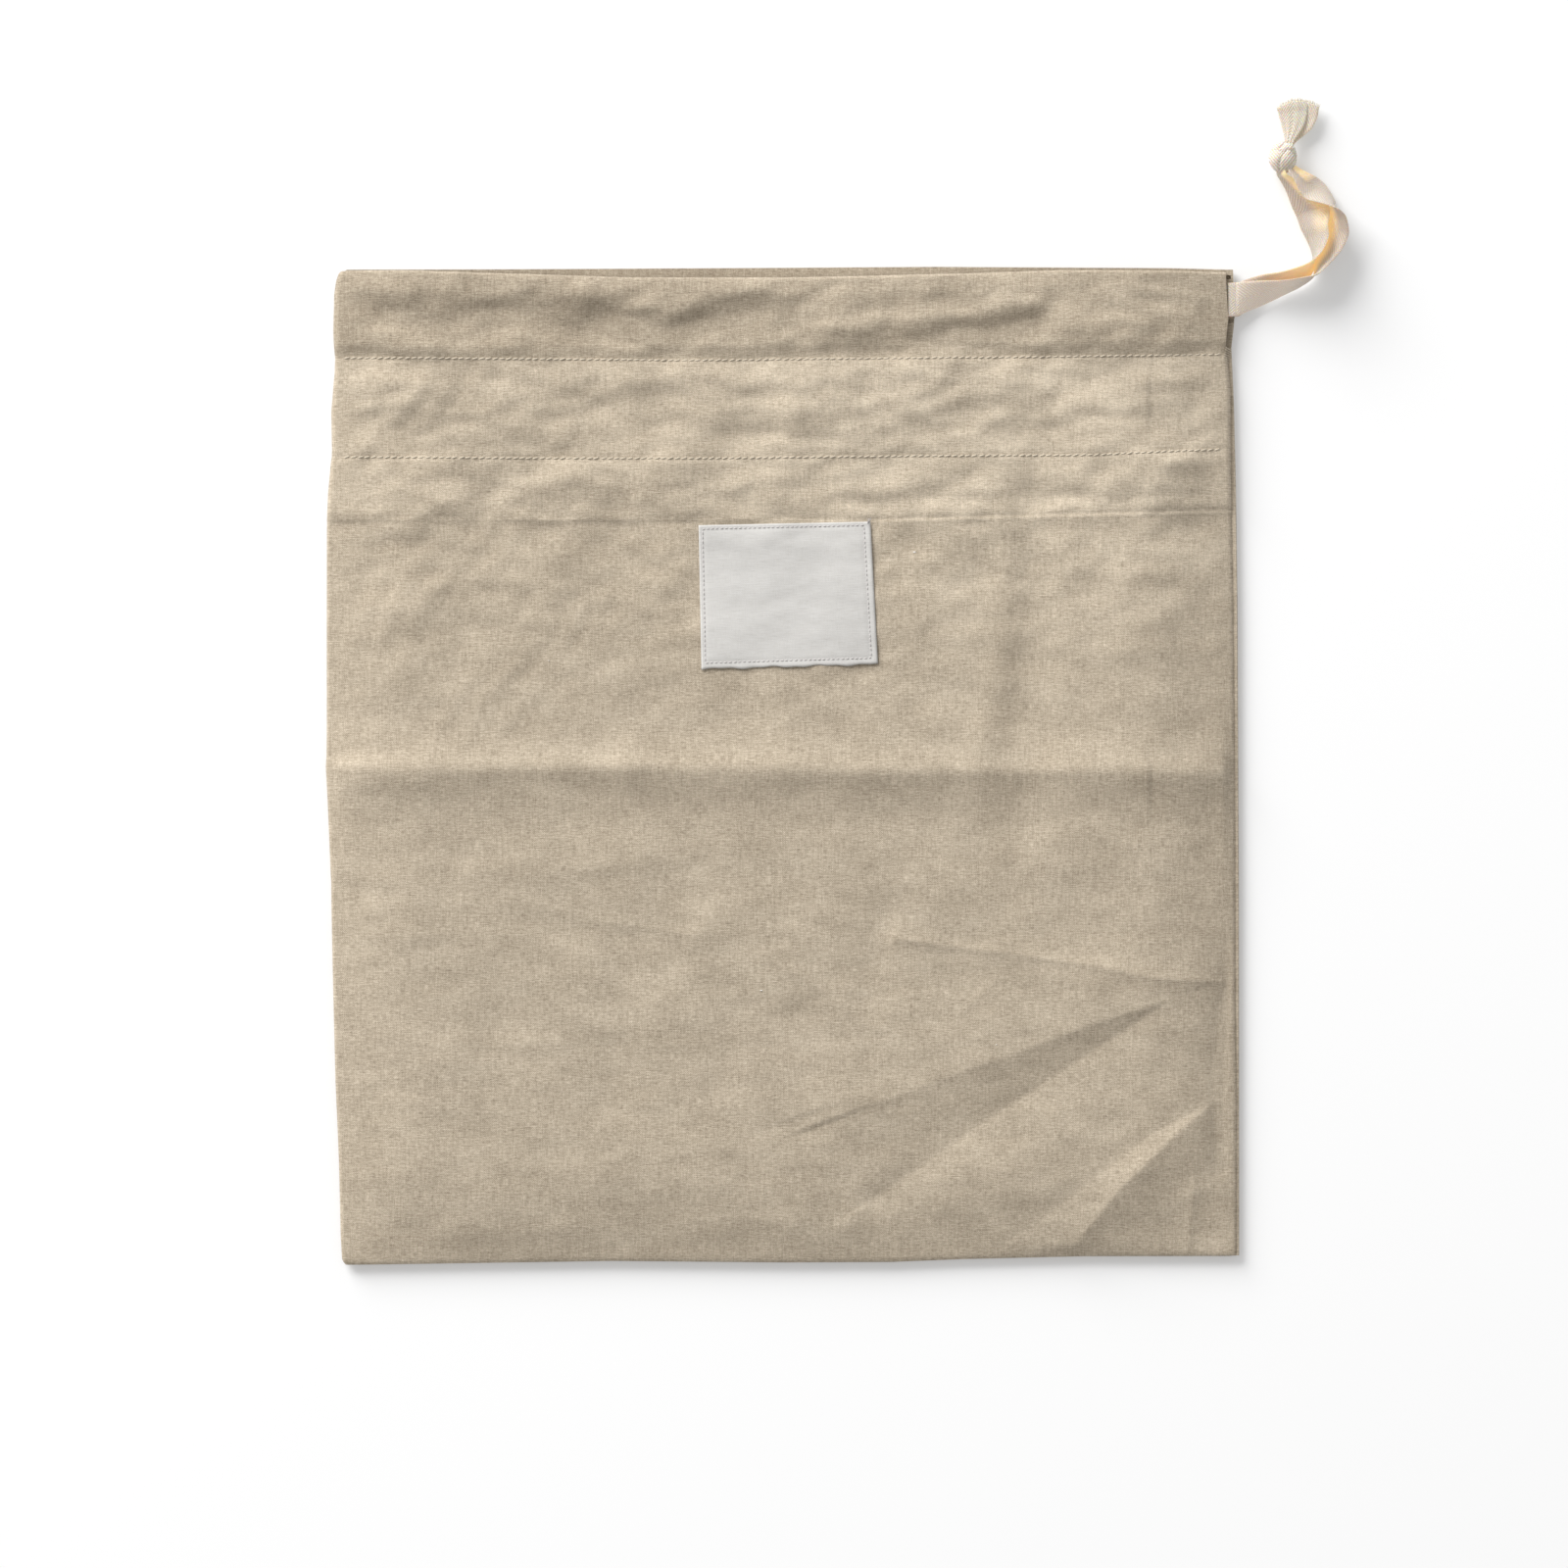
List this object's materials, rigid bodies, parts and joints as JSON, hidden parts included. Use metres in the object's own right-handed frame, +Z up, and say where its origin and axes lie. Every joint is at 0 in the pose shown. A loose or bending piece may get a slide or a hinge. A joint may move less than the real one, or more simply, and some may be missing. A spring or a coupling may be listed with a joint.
{
  "type": "bread bag",
  "caption": "Flat linen drawstring bag for bread, with a deep hem, a channel open at one side seam, a blank sewn-on label and a knotted cotton tape.",
  "frame": {"origin": "on the table under the middle of the bag", "axes": "+X to the bag's right, towards the slit; +Y towards the mouth; +Z up from the table"},
  "size_m": [0.3943, 0.4479, 0.0135],
  "materials": {
    "linen": "heathered beige plain-weave linen, matt",
    "label_weave": "off-white fine woven patch, matt",
    "cotton_tape": "cream herringbone cotton tape, matt"
  },
  "bodies": {
    "root": {"bag_body": "linen", "label": "label_weave", "tape_in_channel": "cotton_tape", "tape_upper": "cotton_tape", "tape_lower": "cotton_tape", "tape_knot": "cotton_tape", "tail_upper": "cotton_tape", "tail_lower": "cotton_tape"}
  },
  "joints": []
}
